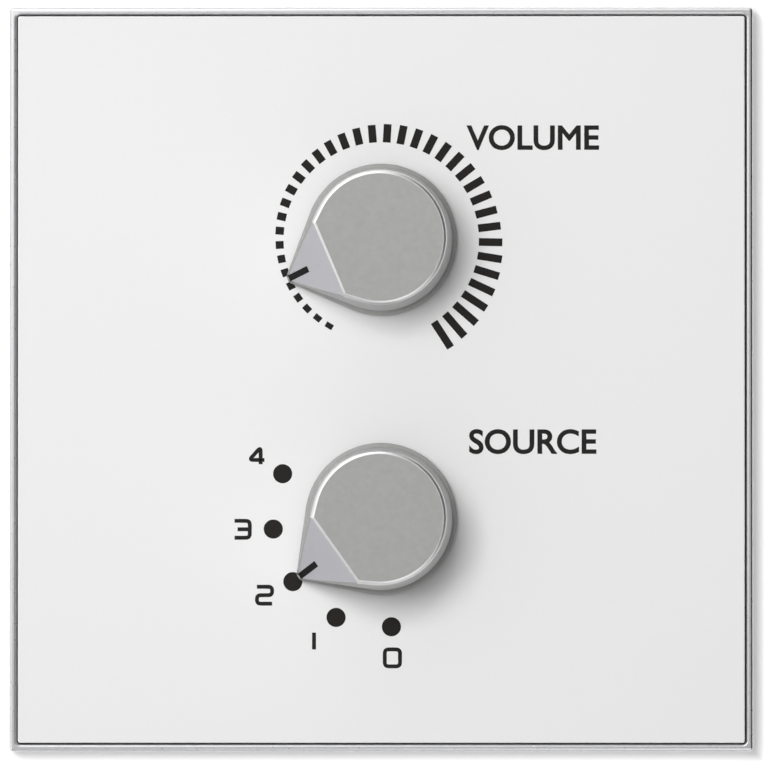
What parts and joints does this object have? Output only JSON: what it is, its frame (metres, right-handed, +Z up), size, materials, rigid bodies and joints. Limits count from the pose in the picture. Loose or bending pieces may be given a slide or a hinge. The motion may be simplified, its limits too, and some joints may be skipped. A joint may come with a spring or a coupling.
{
  "type": "wall volume and source control",
  "caption": "Square wall panel with a level knob above a stepped source knob, pointer knobs on bushed shafts, a pressed bridge for a wall box and plug-in screw terminals behind",
  "frame": {"origin": "centre of the wall-box screw pattern, on the wall plane", "axes": "X to the right and Z up as seen from the front, Y into the wall, so the front faces -Y"},
  "size_m": [0.08, 0.047, 0.08],
  "materials": {
    "frame_metal": "satin silver anodised rim",
    "plate_white": "satin pale grey-white",
    "bridge_steel": "galvanised pressed sheet",
    "knob_silver": "silver lacquer with a fine grain",
    "index_black": "black inlay",
    "spring_steel": "bright spring steel",
    "shaft_metal": "turned",
    "rotor_plastic": "natural moulded plastic",
    "contact_bronze": "bright spring bronze",
    "bushing_metal": "nickel plated",
    "wafer_brown": "phenolic laminate",
    "pin_metal": "tinned",
    "can_steel": "drawn and plated",
    "sleeve_black": "moulded black",
    "fixing_steel": "zinc plated",
    "board_green": "glass epoxy with solder mask",
    "resistor_black": "glazed chip",
    "terminal_green": "moulded green"
  },
  "bodies": {
    "panel": {"bezel_frame": "frame_metal", "front_plate": "plate_white", "mounting_bridge": "bridge_steel", "select_detent_spring": "contact_bronze", "level_bushing": "bushing_metal", "select_bushing": "bushing_metal", "level_wafer": "wafer_brown", "select_contact_base": "wafer_brown", "level_terminals": "pin_metal", "select_terminals": "pin_metal", "header_pins": "pin_metal", "level_case": "can_steel", "select_sleeve": "sleeve_black", "level_lock_washer": "fixing_steel", "level_bridge_nut": "fixing_steel", "level_plate_washer": "fixing_steel", "level_plate_nut": "fixing_steel", "select_lock_washer": "fixing_steel", "select_bridge_nut": "fixing_steel", "select_plate_washer": "fixing_steel", "select_plate_nut": "fixing_steel", "select_stop_washer": "fixing_steel", "select_rivets": "fixing_steel", "board_spacers": "fixing_steel", "board_screws": "fixing_steel", "clamp_cages": "fixing_steel", "clamp_screws": "fixing_steel", "circuit_board": "board_green", "ladder_resistors": "resistor_black", "terminal_header": "terminal_green", "terminal_plug": "terminal_green"},
    "level_control": {"level_knob": "knob_silver", "level_index_line": "index_black", "level_knob_clip": "spring_steel", "level_shaft": "shaft_metal", "level_shaft_clip": "spring_steel", "level_rotor": "rotor_plastic", "level_wiper": "contact_bronze"},
    "select_control": {"select_knob": "knob_silver", "select_index_line": "index_black", "select_knob_clip": "spring_steel", "select_shaft": "shaft_metal", "select_shaft_clip": "spring_steel", "select_detent_wheel": "rotor_plastic", "select_moving_contact": "contact_bronze"}
  },
  "joints": [
    {"name": "level_turn", "type": "hinge", "parent": "panel", "child": "level_control", "pos_m": [0, -0.0097, 0.015], "axis": [0, 1, 0], "range_deg": [-36, 260]},
    {"name": "select_turn", "type": "hinge", "parent": "panel", "child": "select_control", "pos_m": [0, -0.0097, -0.015], "axis": [0, 1, 0], "range_deg": [-60, 60], "deforming": ["select_detent_spring"]}
  ]
}
